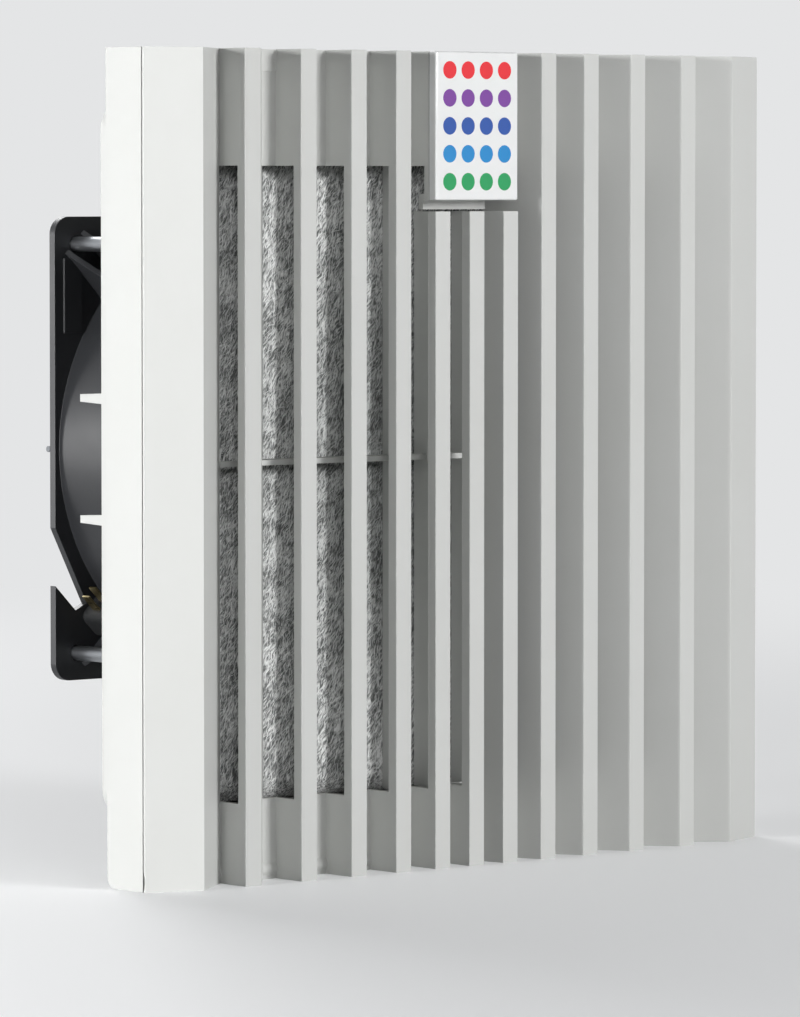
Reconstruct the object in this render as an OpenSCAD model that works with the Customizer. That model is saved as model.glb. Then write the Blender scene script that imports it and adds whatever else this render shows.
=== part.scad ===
// Cabinet filter fan: a louvred, hinged front on a square frame that carries a fibre mat and an axial fan.
// Millimetres. +Z is up, -Y is the front, and Y = 0 is the face of the cabinet wall that the flange seats on.

/* [Front] */
// Side of the square front
front_size = 204; // [198:1:230]
// Distance from the cabinet wall to the front of the slats
front_depth = 20.2; // [19.4:0.2:22]
// Depth of the frame's side walls in front of the cabinet wall
side_depth = 13.8; // [12:0.2:14.2]
// Thickness of the frame's four walls
frame_wall = 3; // [2.6:0.2:3.6]
// Seam between the grille and the frame
seam = 0.4; // [0.3:0.05:0.6]
// Radius of the frame's lower rear edge
edge_r = 3; // [1:0.5:4]

/* [Louvres] */
// Slats on each side of the middle one
side_slats = 5; // [3:1:5]
// Width of a slat's front face
slat_w = 4.8; // [4:0.2:5.6]
// Distance from the middle slat to the next one
slat_pitch = 11.3; // [10.5:0.1:12]
// Growth of that distance from slat to slat
slat_growth = 1.6; // [1:0.1:1.8]
// Width of the floor between two slats
floor_w = 4.3; // [3.5:0.1:5]
// Depth of the floor behind the slat fronts
floor_depth = 10; // [9:0.25:10.5]
// Wall of the grille moulding
grille_wall = 1.6; // [1.2:0.1:1.8]
// Width of the bevelled border
bevel_w = 14; // [12:0.5:15]
// Thickness of the border's outer edge
rim_land = 0.6; // [0.4:0.1:1]
// Depth of the bar that a slat keeps beside a window
bar_depth = 3; // [2.4:0.2:4]
// Depth of the slanted blades behind the slat fronts
blade_depth = 16; // [14:0.5:17]
// Upper end of the windows, above the middle
window_top = 73.5; // [70:0.5:78]
// Lower end of the windows, below the middle
window_bottom = 82; // [76:0.5:84]
// Height of the rib that ties the blades at mid height
rib_h = 1.3; // [1:0.1:3]
// Depth of that rib's front behind the slat fronts
rib_depth = 11.4; // [11:0.2:13]
// Thickness of the caps that close the slats at both ends
cap_t = 2; // [1.5:0.25:3]

/* [Badge] */
// Height of the badge block
badge_h = 37; // [32:0.5:40]
// Thickness of the badge block
badge_t = 2.8; // [2:0.1:3.5]
// Height of the finger gap below the badge
finger_gap = 2.8; // [2:0.2:5]
// Depth of the finger ledge behind the slat fronts
ledge_depth = 8.8; // [8:0.2:10]

/* [Hinge and catch] */
// Radius of the hinge bead along the grille's lower edge
bead_r = 2.5; // [2.2:0.1:2.8]
// Radius of the stub pins
pin_r = 1.5; // [1.2:0.1:1.7]
// Radial clearance of the pins in the frame
pin_gap = 0.06; // [0.03:0.01:0.1]
// Length of each pin in the frame's side wall
pin_len = 1.8; // [1.4:0.1:2]
// Distance from the middle to each catch tongue
tongue_x = 60; // [40:1:80]
// Width of a catch tongue
tongue_w = 14; // [8:1:20]

/* [Cabinet side] */
// Side of the square cut-out that the collar enters
cutout = 177; // [176:0.5:179]
// Room between the collar and the cut-out
collar_gap = 1; // [0.5:0.25:3]
// Depth of the collar behind the cabinet wall
collar_depth = 20.5; // [20:0.5:26]
// Height of the collar and fan above the middle of the front
rise = 1.2; // [0:0.1:2]
// Thickness of the flange and collar
shell = 2.5; // [2.2:0.1:3]
// Radius of the collar's corners
collar_r = 6; // [4:0.5:10]
// Diameter of the holes for the panel screws
panel_hole_d = 3.4; // [3:0.1:4]
// Distance from a side wall to the panel screws
screw_inset = 3.5; // [3:0.1:4]
// Width of the gasket
gasket_w = 3.5; // [2.5:0.25:3.75]
// Thickness of the gasket
gasket_t = 1.3; // [1:0.1:1.5]
// Length of the tapered fingers behind the collar
finger_len = 8.5; // [5:0.5:12]
// Distance of the tapered fingers from mid height
finger_z = 15; // [10:1:30]

/* [Filter] */
// Thickness of the filter mat
mat_t = 13.5; // [11:0.5:15]
// Room between the blades and the mat
mat_gap = 2; // [1.5:0.25:2.5]
// Thickness of the support grid
grid_t = 2; // [1.5:0.25:3]
// Bars of the support grid each way
grid_bars = 9; // [7:1:12]

/* [Fan] */
// Side of the square fan
fan_size = 119; // [110:1:122]
// Depth of the fan
fan_depth = 38; // [36:1:42]
// Distance from the fan's side to its air tube
fan_rim = 3; // [2.4:0.2:4]
// Wall of the air tube
tube_wall = 1.7; // [1.4:0.1:2]
// Thickness of the fan's flanges
flange_t = 2.2; // [1.8:0.2:3]
// Distance from the fan's side to its screw holes
hole_inset = 7; // [6:0.25:8]
// Diameter of the fan's screw holes
fan_hole_d = 4.3; // [4.1:0.1:4.8]
// Length of the neck between the collar and the fan
neck_len = 19.2; // [11:0.2:22]
// Height of the gussets where they meet the tube
gusset_h = 15; // [8:0.5:16]
// Number of blades
blade_count = 7; // [5:1:9]
// Running gap at the blade tips
tip_gap = 1.2; // [0.8:0.1:2]

/* [Motor] */
// Diameter of the rotor cup
cup_d = 60; // [56:1:64]
// Wall of the rotor cup
cup_wall = 1.6; // [1.2:0.1:2]
// Diameter of the stator core
core_d = 42; // [40:0.5:44]
// Air gap between stator and rotor
air_gap = 0.5; // [0.35:0.05:0.8]
// Outer diameter of the ball bearings
bearing_d = 13; // [12:0.5:14]
// Bore of the ball bearings
shaft_d = 4; // [3:0.25:4.5]
// Width of the ball bearings
bearing_w = 5; // [4:0.25:6]
// Wall of the bearing tube
tube_t = 1.5; // [1.2:0.1:2]
// Thickness of the motor base
base_t = 3; // [2.5:0.25:4]
// Diameter of the guard wire
wire_d = 1.6; // [1.2:0.1:2]

/* [Hidden] */
$fn = 64;

grey_abs = "#d2d3d0";
black_cast = "#26272a";
bare_steel = "#b9bcc0";
fibre_grey = "#8f9496";

// Small room between pieces that are pushed together, and the overlap of joined shapes
slip = 0.3;
push = 0.02;
weld = 0.5;

// Front, border and rear planes of the grille
half = front_size / 2;
front_y = -front_depth;
floor_y = front_y + floor_depth;
back_y = floor_y + grille_wall;
rim_y = -(side_depth + seam);
peak_x = half - bevel_w;
inner_half = half - frame_wall;
skirt_x = inner_half - seam;
skirt_t = 2;
last_x = slat_x(side_slats) + slat_w / 2;
border_run = peak_x - last_x;

// Hinge axis and the frame walls that clear it
hinge_y = back_y + seam;
hinge_z = -half + bead_r;
lap_gap = 0.5;
top_depth = -hinge_y - lap_gap;
bottom_depth = -hinge_y - bead_r - lap_gap;
relief_r = norm([-side_depth - hinge_y, bead_r]) + slip;

// Badge and finger ledge
badge_w = 2 * slat_x(1) + slat_w;
badge_z = half - badge_h;
ledge_z = badge_z - finger_gap;
ledge_inset = 3.4;
ledge_x = badge_w / 2 - ledge_inset;
ledge_lift = 0.5;

// Height of the blades' rib above the middle, and the depth of its rear edge
rib_z = 0.7;
rib_end = blade_depth - 1;

// Collar, mat, grid and fan along the depth
collar_w = cutout - 2 * collar_gap;
collar_in = collar_w - 2 * shell;
ledge_w = 3.5;
mat_y = front_y + blade_depth + mat_gap;
grid_y = mat_y + mat_t;
grid_back = grid_y + grid_t;
carrier_y = collar_depth - shell;
corner_boss_r = 4.5;
corner_xy = collar_in / 2 - corner_boss_r;
tap_r = 1.25;
screw_pitch = 2 * (inner_half - screw_inset);
gasket_in = cutout + 2;
gasket_r = 8;
finger_root = 2.6;
finger_tip = 1.85;
fan_y = collar_depth + neck_len;
fan_back = fan_y + fan_depth;
bore_r = fan_size / 2 - fan_rim;
tube_r = bore_r + tube_wall;
neck_wall = 2.5;
hole_xy = fan_size / 2 - hole_inset;
fan_corner_r = 4.5;
boss_r = 5;
boss_depth = 10;
thread_end = 1;
screw_r = 1.9;
screw_head_r = 3.6;
screw_head_h = 2.4;

// Motor along the depth
base_y = fan_back - base_t;
base_r = cup_d / 2 + 1;
cup_inset = 6;
cup_room = 4;
cup_y = fan_y + cup_inset;
cup_front_t = 2;
cup_floor = cup_y + cup_front_t;
cup_back = base_y - cup_room;
overhang = 3.5;
end_room = 1.5;
core_y = cup_floor + end_room + overhang;
core_back = cup_back - 0.5 - overhang;
tube_front = cup_floor + end_room;
front_bearing_y = tube_front + 0.5;
rear_bearing_y = base_y - 2.5 - bearing_w;
bearing_r = bearing_d / 2;
tube_out_r = bearing_r + tube_t;
shoulder_r = tube_out_r + 2;
shaft_r = shaft_d / 2;
inner_ring_r = shaft_r + 1.2;
outer_ring_r = bearing_r - 1.1;
ball_pitch_r = (inner_ring_r + outer_ring_r) / 2;
ball_r = (outer_ring_r - inner_ring_r) / 2 - 0.05;
ball_count = 7;
clip_t = 0.6;
clip_y = rear_bearing_y + bearing_w + 0.2;
shaft_end = clip_y + clip_t + 0.8;
groove_r = shaft_r - 0.5;
yoke_r = tube_out_r + 3;
shoe_t = 3;
neck_w = 6;
coil_w = 13;
pole_count = 4;

// Struts, notch and terminals at the back of the fan
strut_angle = 24;
strut_w = 5;
strut_t = 4.5;
notch_top = -0.17 * fan_size;
notch_h = 14.8;
notch_fall = 19.6;
notch_bottom = notch_top - notch_h;
notch_tip = notch_top - notch_fall;
notch_reach = 10;
rib_t = 1.4;
rib_at = fan_hole_d / 2 + rib_t;
pad_w = 5.6;
pad_t = 0.5;
block_w = 8.5;
block_depth = 9;
block_back = fan_back - flange_t - push;
block_r0 = tube_r + slip;
block_side = rib_at - rib_t / 2 - slip - block_w;
tab_len = 5;
tab_w = 2.8;
tab_t = 0.5;

// Middle of slat k, counted outwards from the middle slat
function slat_x(k) = slat_pitch * k + slat_growth * k * (k - 1) / 2;

// Sideways run of the slanted face of slat k over the floor depth
function slant_run(k) = slat_x(k) - slat_x(k - 1) - slat_w - floor_w;

// Sideways thickness of a wall that runs sideways by run over the floor depth
function slant_wall(run) = grille_wall * norm([1, run / floor_depth]);

// Points of an outline mirrored to the left side, in reverse order
function mirrored(points) = [for (i = [len(points) - 1 : -1 : 0]) [-points[i].x, points[i].y]];

// Solid from y0 to y1 with its outline drawn in X and Z
module slab(y0, y1) {
    translate([0, y1, 0]) rotate([90, 0, 0]) linear_extrude(y1 - y0) children();
}

// Solid from x0 to x1 with its outline drawn in Y and Z
module bar(x0, x1) {
    translate([x0, 0, 0]) rotate([90, 0, 90]) linear_extrude(x1 - x0) children();
}

// Solid turned about the fan's axis, with its outline drawn as radius and Y
module turned() {
    rotate([-90, 0, 0]) rotate_extrude() children();
}

// Shapes lifted to the middle of the collar and fan
module raised() {
    translate([0, 0, rise]) children();
}

// Rectangle given by two opposite corners
module span(a, b) {
    translate(a) square(b - a);
}

// Square with round corners, about the middle
module round_square(side, r) {
    square([side - 2 * r, side], center = true);
    square([side, side - 2 * r], center = true);
    for (x = [-1, 1], y = [-1, 1]) {
        translate([x, y] * (side / 2 - r)) circle(r);
    }
}

// Flat ring between two square outlines
module square_ring(outer, outer_r, inner, inner_r) {
    difference() {
        round_square(outer, outer_r);
        round_square(inner, inner_r);
    }
}

// Copies on the four corners of a square pattern
module at_corners(half_pitch) {
    for (x = [-1, 1], z = [-1, 1]) {
        translate([x * half_pitch, z * half_pitch]) children();
    }
}

// The shape itself and its mirror image about X = 0
module both_sides() {
    children();
    mirror([1, 0, 0]) children();
}

// Outline of the grille across its slats, without its hollows
module louvre_outline() {
    slats = [for (k = [1 : side_slats]) each [
        [slat_x(k) - slat_w / 2 - slant_run(k), floor_y],
        [slat_x(k) - slat_w / 2, front_y],
        [slat_x(k) + slat_w / 2, front_y],
        [slat_x(k) + slat_w / 2, floor_y]
    ]];
    right = concat(
        [[slat_w / 2, front_y], [slat_w / 2, floor_y]],
        slats,
        [[peak_x, front_y], [half, rim_y - rim_land], [half, rim_y], [skirt_x, rim_y], [skirt_x, back_y]]
    );
    polygon(concat(right, mirrored(right)));
}

// Hollow behind slat k on the right side
module slat_hollow(k) {
    run = slant_run(k);
    left_x = slat_x(k) - slat_w / 2 + slant_wall(run);
    right_x = slat_x(k) + slat_w / 2 - grille_wall;
    slope = run / floor_depth;
    depth = floor_depth + grille_wall + weld;
    polygon([
        [left_x - slope * grille_wall, front_y + grille_wall],
        [right_x, front_y + grille_wall],
        [right_x, front_y + depth],
        [left_x - slope * depth, front_y + depth]
    ]);
}

// Hollow behind the bevelled border on the right side
module border_hollow() {
    slope = border_run / floor_depth;
    bevel = (rim_y - rim_land - front_y) / bevel_w;
    slant_t = slant_wall(border_run);
    bevel_t = grille_wall * norm([1, bevel]);
    apex = (slant_t * bevel + bevel_t) / (1 + slope * bevel);
    depth = floor_depth + grille_wall + weld;
    inside_x = skirt_x - skirt_t;
    polygon([
        [peak_x - slope * apex + slant_t, front_y + apex],
        [inside_x, front_y + (inside_x - peak_x) * bevel + bevel_t],
        [inside_x, front_y + depth],
        [peak_x - slope * depth + slant_t, front_y + depth]
    ]);
}

// Slanted blade of slat k on the right side
module blade_outline(k) {
    run = slant_run(k);
    x = slat_x(k) - slat_w / 2;
    back_x = x - run * blade_depth / floor_depth;
    polygon([
        [x, front_y],
        [x + slant_wall(run), front_y],
        [back_x + slant_wall(run), front_y + blade_depth],
        [back_x, front_y + blade_depth]
    ]);
}

// Right half of the rib that ties the blades, from the middle to the outer blade
module rib_outline() {
    run = slant_run(side_slats);
    front_x = last_x - slat_w + slant_wall(run) / 2 - run * rib_depth / floor_depth;
    back_x = front_x - run * (rib_end - rib_depth) / floor_depth;
    polygon([
        [-weld, front_y + rib_depth],
        [front_x, front_y + rib_depth],
        [back_x, front_y + rib_end],
        [-weld, front_y + rib_end]
    ]);
}

// Everything that is hollow behind the front faces, right side and middle
module hollows() {
    for (k = [1 : side_slats]) {
        both_sides() slat_hollow(k);
    }
    both_sides() border_hollow();
    span([-slat_w / 2 + grille_wall, front_y + grille_wall], [slat_w / 2 - grille_wall, back_y + weld]);
}

// Corrugated front with its end caps, windows, badge seat and finger gap
module grille_shell() {
    difference() {
        translate([0, 0, -half]) linear_extrude(front_size) louvre_outline();
        translate([0, 0, -half + cap_t]) linear_extrude(front_size - 2 * cap_t) hollows();
        translate([0, 0, -window_bottom]) linear_extrude(window_bottom + window_top)
            span([-last_x, front_y + bar_depth], [last_x, back_y + weld]);
        slab(front_y - weld, front_y + badge_t)
            span([-badge_w / 2 - push, badge_z], [badge_w / 2 + push, half + weld]);
        slab(front_y - weld, front_y + ledge_depth)
            span([-badge_w / 2 - push, ledge_z], [badge_w / 2 + push, badge_z + weld / 2]);
        both_sides() bar(skirt_x, half + weld) translate([hinge_y, hinge_z]) circle(relief_r);
    }
}

// Blades, rib, badge backing, catch tongues and hinge of the grille
module louvre_grille() {
    color(grey_abs) union() {
        grille_shell();
        for (k = [1 : side_slats]) {
            translate([0, 0, -window_bottom - weld]) linear_extrude(window_bottom + ledge_z + weld)
                both_sides() blade_outline(k);
        }
        for (k = [2 : side_slats]) {
            translate([0, 0, ledge_z - weld]) linear_extrude(window_top - ledge_z + 2 * weld)
                both_sides() blade_outline(k);
        }
        translate([0, 0, rib_z - rib_h / 2]) linear_extrude(rib_h) both_sides() rib_outline();
        slab(front_y + badge_t, front_y + badge_t + grille_wall)
            span([-badge_w / 2, badge_z], [badge_w / 2, half]);
        slab(front_y + ledge_depth, front_y + ledge_depth + grille_wall)
            span([-ledge_x, ledge_z + ledge_lift], [ledge_x, badge_z + weld]);
        slab(front_y + badge_t, front_y + ledge_depth + grille_wall)
            span([-ledge_x, badge_z], [ledge_x, badge_z + grille_wall]);
        both_sides() catch_tongue();
        bar(-skirt_x, skirt_x) translate([hinge_y, hinge_z]) circle(bead_r);
        bar(-inner_half - pin_len, inner_half + pin_len) translate([hinge_y, hinge_z]) circle(pin_r);
    }
}

// Tongue behind the grille's top that slips under the frame's top wall
module catch_tongue() {
    tongue_t = 1.8;
    tongue_len = 5.5;
    top = inner_half - 2 * slip;
    bar(tongue_x - tongue_w / 2, tongue_x + tongue_w / 2) {
        span([floor_y - weld, top - tongue_t], [back_y, half]);
        polygon([
            [floor_y, top - 2 * tongue_t],
            [back_y + tongue_len, top - tongue_t / 2],
            [back_y + tongue_len, top],
            [floor_y, top]
        ]);
    }
}

// Flat block in the top of the grille, bare of any mark
module badge_plate() {
    color("white") slab(front_y, front_y + badge_t) span([-badge_w / 2, badge_z], [badge_w / 2, half]);
}

// Surround in front of the cabinet wall: flange, four walls and the hinge bores
module surround() {
    difference() {
        union() {
            slab(-shell, 0) square(front_size, center = true);
            both_sides() bar(inner_half, half) span([-side_depth, -half], [0, half]);
            bar(-half, half) span([-top_depth, inner_half], [0, half]);
            bar(-half, half) span([-bottom_depth, -half], [0, -inner_half]);
        }
        raised() slab(-shell - weld, weld) round_square(collar_in, collar_r - shell);
        raised() slab(-gasket_t, weld) gasket_outline(0);
        slab(-shell - weld, weld) at_corners(screw_pitch / 2) circle(d = panel_hole_d);
        bar(-inner_half - pin_len - slip, inner_half + pin_len + slip)
            translate([hinge_y, hinge_z]) circle(pin_r + pin_gap);
        bar(-half - weld, half + weld) difference() {
            span([-edge_r, -half - weld], [weld, -half + edge_r]);
            translate([-edge_r, -half + edge_r]) circle(edge_r);
        }
    }
}

// Collar behind the cabinet wall, with the ledge between grid and carrier, its corner bosses and the fingers
module collar() {
    slab(-shell, collar_depth) square_ring(collar_w, collar_r, collar_in, collar_r - shell);
    slab(grid_back, carrier_y) difference() {
        union() {
            square_ring(collar_w - shell, collar_r, collar_in - 2 * ledge_w, 1);
            at_corners(corner_xy) circle(corner_boss_r);
        }
        at_corners(corner_xy) circle(tap_r + 0.1);
    }
    for (z = [-finger_z, finger_z]) {
        both_sides() bar(collar_w / 2 - shell, collar_w / 2) polygon([
            [carrier_y, z - finger_root / 2],
            [collar_depth, z - finger_root / 2],
            [collar_depth + finger_len, z - finger_tip / 2],
            [collar_depth + finger_len, z + finger_tip / 2],
            [collar_depth, z + finger_root / 2],
            [carrier_y, z + finger_root / 2]
        ]);
    }
}

// One moulding: surround and collar
module base_frame() {
    color(grey_abs) union() {
        surround();
        raised() collar();
    }
}

// Plate that closes the collar, with the round neck and the screw bosses that carry the fan
module fan_carrier() {
    color(grey_abs) raised() difference() {
        union() {
            slab(carrier_y, collar_depth) round_square(collar_in - 2 * slip, collar_r - shell);
            slab(carrier_y, fan_y) circle(bore_r + neck_wall);
            slab(fan_y - shell, fan_y) round_square(fan_size, fan_corner_r);
            slab(carrier_y, fan_y) at_corners(hole_xy) circle(boss_r);
        }
        slab(carrier_y - weld, fan_y + weld) circle(bore_r);
        slab(fan_y - boss_depth, fan_y + weld) at_corners(hole_xy) circle(screw_r + 0.1);
        slab(carrier_y - weld, collar_depth + weld) at_corners(corner_xy) circle(tap_r + slip);
    }
}

// Pan-head screw along Y with its head on the plane y0, its shank towards the front
module pan_screw(y0, shank_r, shank_len, head_r, head_h) {
    round = 0.25 * head_h;
    turned() polygon([
        [0, y0 - shank_len],
        [shank_r - round, y0 - shank_len],
        [shank_r, y0 - shank_len + round],
        [shank_r, y0],
        [head_r, y0],
        [head_r, y0 + head_h - 2 * round],
        [head_r - round, y0 + head_h - round / 2],
        [head_r - 3 * round, y0 + head_h],
        [0, y0 + head_h]
    ]);
}

// Four short screws that hold the carrier to the collar's bosses
module carrier_screws() {
    color(bare_steel) raised() for (x = [-1, 1], z = [-1, 1]) {
        translate([x * corner_xy, 0, z * corner_xy])
            pan_screw(collar_depth, tap_r, collar_depth - grid_back - 2 * slip, 2.5 * tap_r - slip, 2);
    }
}

// Outline of the gasket, widened on both sides by room
module gasket_outline(room) {
    square_ring(gasket_in + 2 * gasket_w - 2 * room, gasket_r, gasket_in + 2 * room, gasket_r - gasket_w);
}

// Foam seal in the groove of the flange
module panel_gasket() {
    color("dimgray") raised() slab(-gasket_t, 0) gasket_outline(push);
}

// Grid that backs the mat
module support_grid() {
    side = collar_in - 2 * slip;
    bar_w = 2;
    rim_w = 4;
    step = (side - rim_w) / (grid_bars + 1);
    color(grey_abs) raised() slab(grid_y, grid_back) {
        square_ring(side, collar_r - shell, side - 2 * rim_w, 1);
        for (i = [1 : grid_bars]) {
            place = -side / 2 + rim_w / 2 + i * step;
            translate([place, 0]) square([bar_w, side - rim_w], center = true);
            translate([0, place]) square([side - rim_w, bar_w], center = true);
        }
    }
}

// Fibre mat in the collar
module filter_mat() {
    color(fibre_grey) raised() slab(mat_y, grid_y) round_square(collar_in - 2 * slip, collar_r - shell);
}

// Square flange of the fan with its air opening and screw holes
module fan_flange() {
    difference() {
        round_square(fan_size, fan_corner_r);
        circle(bore_r);
        at_corners(hole_xy) circle(d = fan_hole_d);
    }
}

// Slanted notch in the side of the rear flange, where the leads leave
module notch_outline() {
    edge = -fan_size / 2;
    polygon([
        [edge - weld, notch_top],
        [edge, notch_top],
        [edge + notch_reach, notch_tip],
        [edge + 0.65 * notch_reach, notch_tip - 0.17 * notch_reach],
        [edge, notch_bottom],
        [edge - weld, notch_bottom]
    ]);
}

// Tapered rib beside a corner's screw, from the flange's face at y0 up the tube
module gusset(angle, side, y0, height) {
    reach = (hole_xy + 1.5) * sqrt(2);
    root = bore_r + tube_wall / 3;
    rotate([0, -angle, 0]) translate([0, 0, side * rib_at - rib_t / 2]) linear_extrude(rib_t) polygon([
        [root, y0],
        [reach, y0],
        [root, y0 + height]
    ]);
}

// Cast body of the fan
module fan_housing() {
    color(black_cast) raised() union() {
        slab(fan_y, fan_back) difference() {
            circle(tube_r);
            circle(bore_r);
        }
        slab(fan_y, fan_y + flange_t) fan_flange();
        slab(fan_back - flange_t, fan_back) difference() {
            fan_flange();
            notch_outline();
        }
        for (a = [45 : 90 : 315], side = [-1, 1]) {
            gusset(a, side, fan_y + flange_t / 2, gusset_h + flange_t / 2);
            if (a != 225 || side > 0) gusset(a, side, fan_back - flange_t / 2, -gusset_h - flange_t / 2);
        }
        slab(fan_back - flange_t - pad_t, fan_back - flange_t / 2)
            translate([pad_w / 2 - fan_size / 2, fan_size / 4]) square([pad_w, 0.16 * fan_size]);
        slab(base_y, fan_back) circle(base_r);
        slab(fan_back - strut_t, fan_back) difference() {
            for (a = [strut_angle : 90 : 359]) {
                rotate(a) translate([base_r - weld, -strut_w / 2]) square([bore_r - base_r + 2 * weld, strut_w]);
            }
            circle(base_r - weld);
        }
    }
}

// Four long screws through guard and fan into the carrier
module fan_screws() {
    head_y = fan_back + wire_d + 2 * push;
    color(bare_steel) raised() for (x = [-1, 1], z = [-1, 1]) {
        translate([x * hole_xy, 0, z * hole_xy])
            pan_screw(
                head_y,
                screw_r,
                head_y - fan_y + boss_depth - thread_end,
                screw_head_r,
                screw_head_h
            );
    }
}

// Ring of wire about the fan's axis
module wire_ring(r, y) {
    turned() translate([r, y]) circle(d = wire_d);
}

// Straight wire from r0 to r1 at an angle about the fan's axis
module wire_spoke(angle, r0, r1, y) {
    rotate([0, -angle, 0]) translate([r0, y, 0]) rotate([0, 90, 0]) cylinder(d = wire_d, h = r1 - r0);
}

// Finger guard behind the fan, held by the fan's screws
module wire_guard() {
    rings = 5;
    eye_r = screw_r + 0.5 + wire_d / 2;
    spoke_y = fan_back + wire_d / 2 + push;
    ring_y = spoke_y + 0.9 * wire_d;
    ring_step = (bore_r - 3) / (rings + 0.3);
    color(bare_steel) raised() union() {
        for (i = [1 : rings]) {
            wire_ring(i * ring_step, ring_y);
        }
        for (a = [45 : 90 : 315]) {
            wire_spoke(a, ring_step - wire_d / 2, hole_xy * sqrt(2) - eye_r, spoke_y);
        }
        for (a = [0, 180]) {
            wire_spoke(a, ring_step - wire_d / 2, fan_size / 2, spoke_y);
        }
        for (x = [-1, 1], z = [-1, 1]) {
            translate([x * hole_xy, 0, z * hole_xy]) wire_ring(eye_r, spoke_y);
        }
    }
}

// Terminal moulding on the rear flange, between the tube and the rib of a corner
module terminal_block() {
    color("#1b1c1e") raised() slab(block_back - block_depth, block_back) rotate(225)
        translate([block_r0 + block_w / 2, block_side + block_w / 2]) round_square(block_w, 0.25 * block_w);
}

// Two flat plug tabs on the side of the terminal block that faces the notch
module terminal_blades() {
    tab_y = block_back - block_depth / 2;
    color("#c9b06a") raised() for (share = [0.32, 0.68]) {
        slab(tab_y - tab_w / 2, tab_y + tab_w / 2) rotate(225)
            translate([block_r0 + share * block_w - tab_t / 2, block_side - tab_len]) square([tab_t, tab_len]);
    }
}

// Tube on the motor base that holds the bearings and carries the stator
module bearing_tube() {
    color("#a8a49a") raised() turned() polygon([
        [bearing_r, tube_front],
        [tube_out_r, tube_front],
        [tube_out_r, core_back],
        [shoulder_r, core_back],
        [shoulder_r, base_y],
        [bearing_r, base_y],
        [bearing_r, rear_bearing_y],
        [bearing_r - 0.7, rear_bearing_y],
        [bearing_r - 0.7, front_bearing_y + bearing_w],
        [bearing_r, front_bearing_y + bearing_w]
    ]);
}

// Plain ring from r0 to r1 about the fan's axis
module ring(r0, r1, y0, y1) {
    turned() span([r0, y0], [r1, y1]);
}

// Fixed rings of both bearings
module bearing_outer_rings() {
    color(bare_steel) raised() for (y = [front_bearing_y, rear_bearing_y]) {
        ring(outer_ring_r, bearing_r - push, y, y + bearing_w);
    }
}

// Turning rings of both bearings
module bearing_inner_rings() {
    color(bare_steel) raised() for (y = [front_bearing_y, rear_bearing_y]) {
        ring(shaft_r + push, inner_ring_r, y, y + bearing_w);
    }
}

// Balls of both bearings
module bearing_balls() {
    color(bare_steel) raised() for (y = [front_bearing_y, rear_bearing_y], i = [0 : ball_count - 1]) {
        rotate([0, i * 360 / ball_count, 0]) translate([ball_pitch_r, y + bearing_w / 2, 0]) sphere(ball_r);
    }
}

// Laminated core with four poles
module stator_core() {
    core_r = core_d / 2;
    color("#6f7276") raised() slab(core_y, core_back) difference() {
        union() {
            circle(yoke_r);
            for (a = [0 : 360 / pole_count : 359]) {
                rotate(a) translate([0, -neck_w / 2]) square([core_r - shoe_t / 2, neck_w]);
            }
            difference() {
                circle(core_r);
                circle(core_r - shoe_t);
                for (a = [45 : 360 / pole_count : 359]) {
                    rotate(a) translate([0, -1.5]) square([core_r + weld, 3]);
                }
            }
        }
        circle(tube_out_r + push);
    }
}

// Coils round the four poles
module stator_windings() {
    coil_in = yoke_r + slip;
    coil_out = sqrt(pow(core_d / 2 - shoe_t - slip, 2) - pow(coil_w / 2, 2));
    room = 2 * slip;
    color("#b5652c") raised() for (a = [0 : 360 / pole_count : 359]) {
        rotate([0, a, 0]) difference() {
            translate([coil_in, core_y - overhang, -coil_w / 2])
                cube([coil_out - coil_in, core_back - core_y + 2 * overhang, coil_w]);
            translate([coil_in - weld, core_y - slip, -(neck_w + room) / 2])
                cube([coil_out - coil_in + 2 * weld, core_back - core_y + room, neck_w + room]);
        }
    }
}

// Steel cup that turns round the stator
module rotor_cup() {
    cup_r = cup_d / 2;
    cup_round = 3;
    inner_round = 2;
    boss_end = front_bearing_y - 0.2;
    boss_out = shaft_r + 2;
    color(black_cast) raised() turned() polygon([
        [shaft_r + push, cup_y],
        [cup_r - cup_round, cup_y],
        [cup_r, cup_y + cup_round],
        [cup_r, cup_back],
        [cup_r - cup_wall, cup_back],
        [cup_r - cup_wall, cup_floor + inner_round],
        [cup_r - cup_wall - inner_round, cup_floor],
        [boss_out, cup_floor],
        [boss_out, boss_end],
        [shaft_r + push, boss_end]
    ]);
}

// Cage ring inside the cup
module rotor_cage() {
    color("#8a8d90") raised() ring(core_d / 2 + air_gap, cup_d / 2 - cup_wall - push, core_y - 1, core_back + 1);
}

// Shaft with the groove for its ring
module shaft() {
    color(bare_steel) raised() turned() polygon([
        [0, cup_y],
        [shaft_r, cup_y],
        [shaft_r, clip_y - push],
        [groove_r, clip_y - push],
        [groove_r, clip_y + clip_t + push],
        [shaft_r, clip_y + clip_t + push],
        [shaft_r, shaft_end],
        [0, shaft_end]
    ]);
}

// Open ring that holds the shaft in the rear bearing
module retaining_ring() {
    color(bare_steel) raised() slab(clip_y, clip_y + clip_t) difference() {
        circle(inner_ring_r);
        circle(groove_r + push);
        translate([-groove_r * 0.8, 0]) square([groove_r * 1.6, inner_ring_r + weld]);
    }
}

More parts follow.
